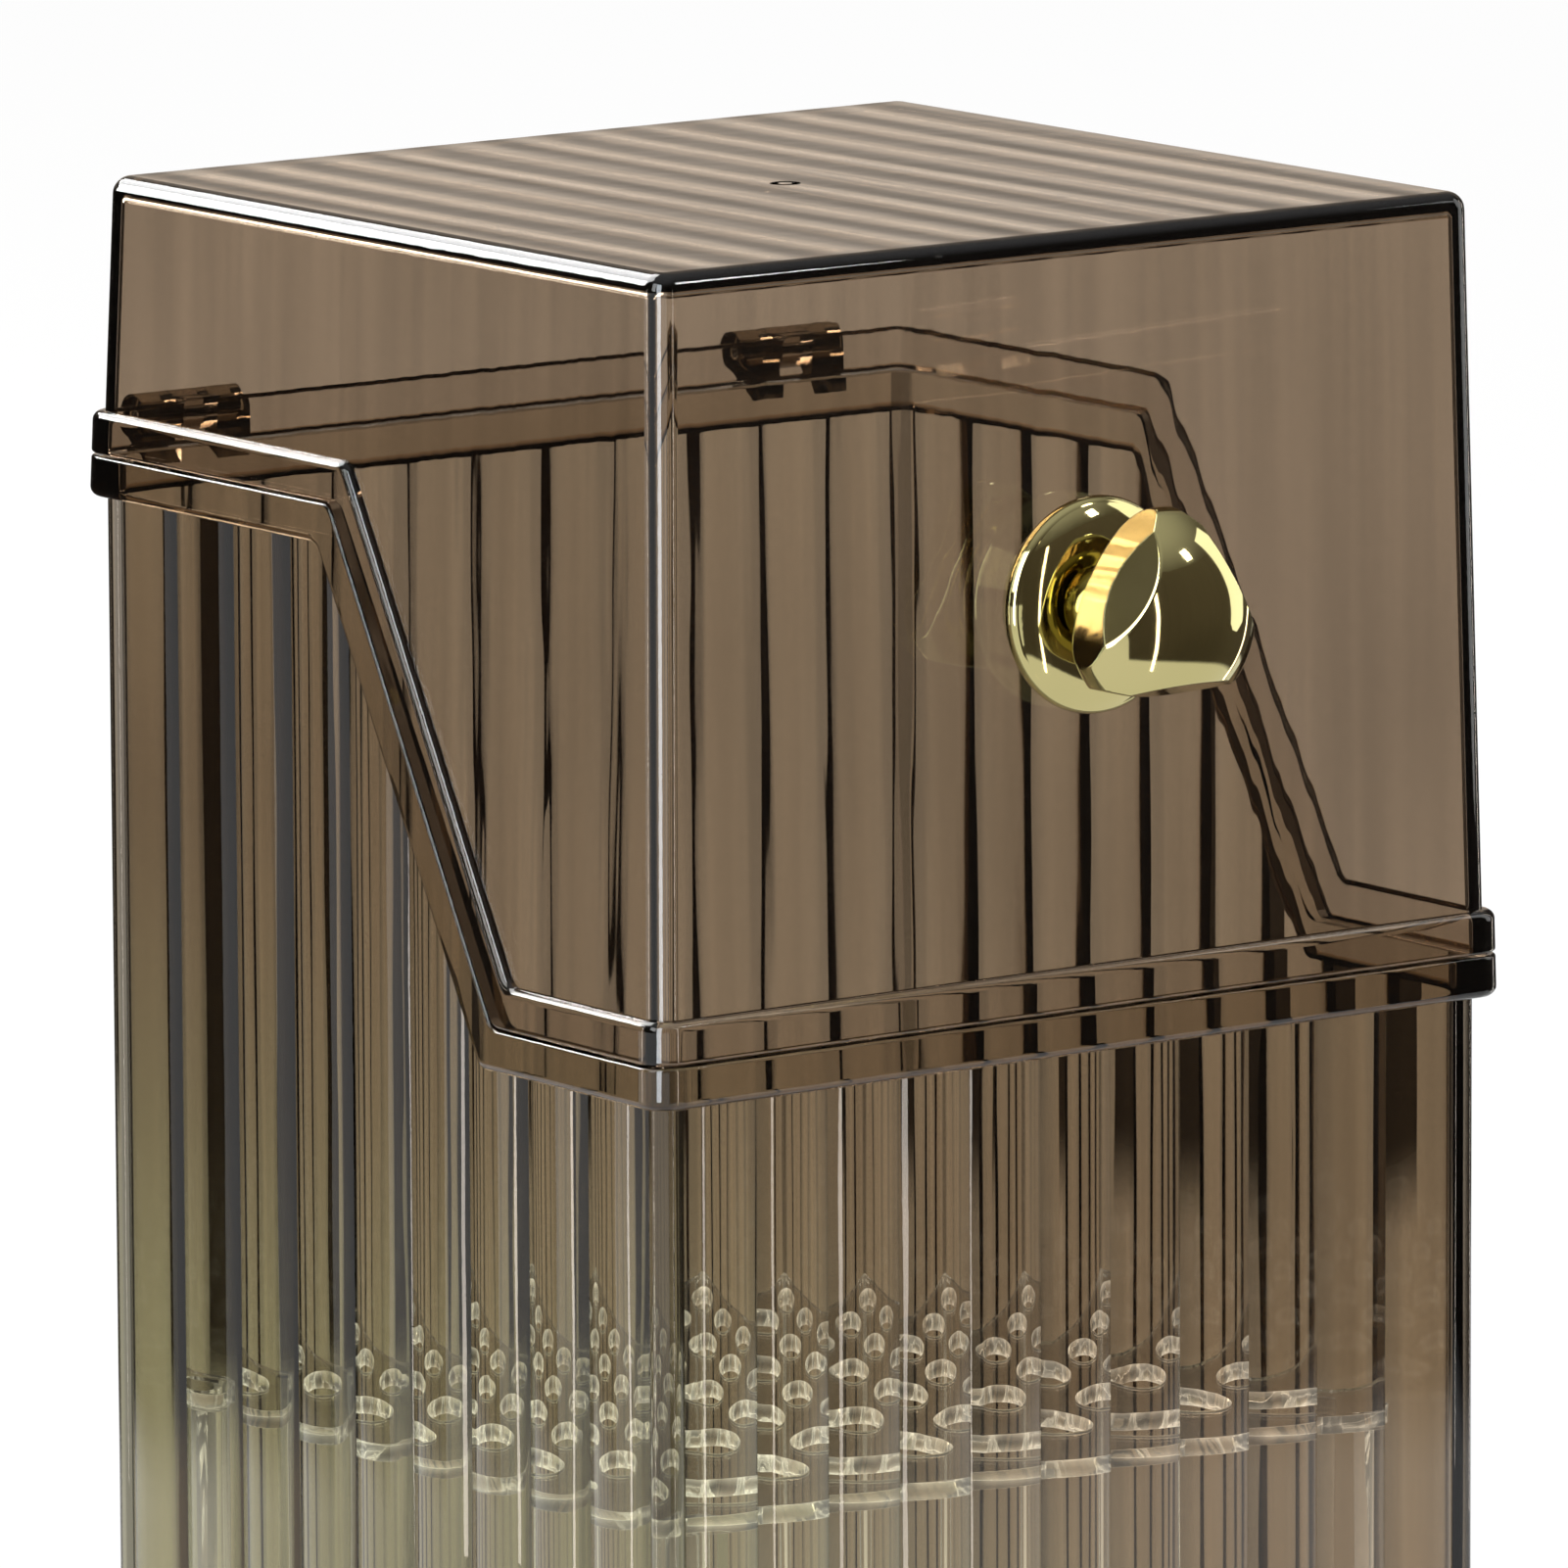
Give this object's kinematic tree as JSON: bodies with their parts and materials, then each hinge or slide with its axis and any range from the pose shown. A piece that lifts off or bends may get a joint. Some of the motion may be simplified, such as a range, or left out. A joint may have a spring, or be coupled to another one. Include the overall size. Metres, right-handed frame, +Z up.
{
  "type": "lidded brush box",
  "caption": "Tall clear box for makeup brushes: reeded tub, smooth hinged hood with a stepped rim, faceted round knob and a perforated rack standing inside.",
  "frame": {"origin": "centre of the flat underside of the tub, on the table", "axes": "+Z up through the top of the lid, +X to the right, -Y to the front, where the knob is; the lid is closed at rest"},
  "size_m": [0.1474, 0.1732, 0.23],
  "materials": {
    "smoky_plastic": "clear, tinted smoky brown, polished",
    "clear_plastic": "clear, colourless, polished",
    "gold_plating": "mirror-bright pale gold plating",
    "screw_steel": "plain zinc-plated steel",
    "pin_steel": "drawn steel wire"
  },
  "bodies": {
    "body": {"body_shell": "smoky_plastic", "hinge_pin_left": "pin_steel", "hinge_pin_right": "pin_steel"},
    "lid": {"lid_shell": "smoky_plastic", "knob_base_disc": "gold_plating", "knob_head": "gold_plating", "knob_screw": "screw_steel", "knob_washer": "screw_steel"},
    "rack": {"brush_rack": "clear_plastic"}
  },
  "joints": [
    {"name": "lid_hinge", "type": "hinge", "parent": "body", "child": "lid", "pos_m": [0, 0.07375, 0.1944], "axis": [-1, 0, 0], "range_deg": [0, 105]},
    {"name": "rack_lift", "type": "slide", "parent": "body", "child": "rack", "axis": [0, 0, 1], "range_m": [0, 0.16]}
  ]
}
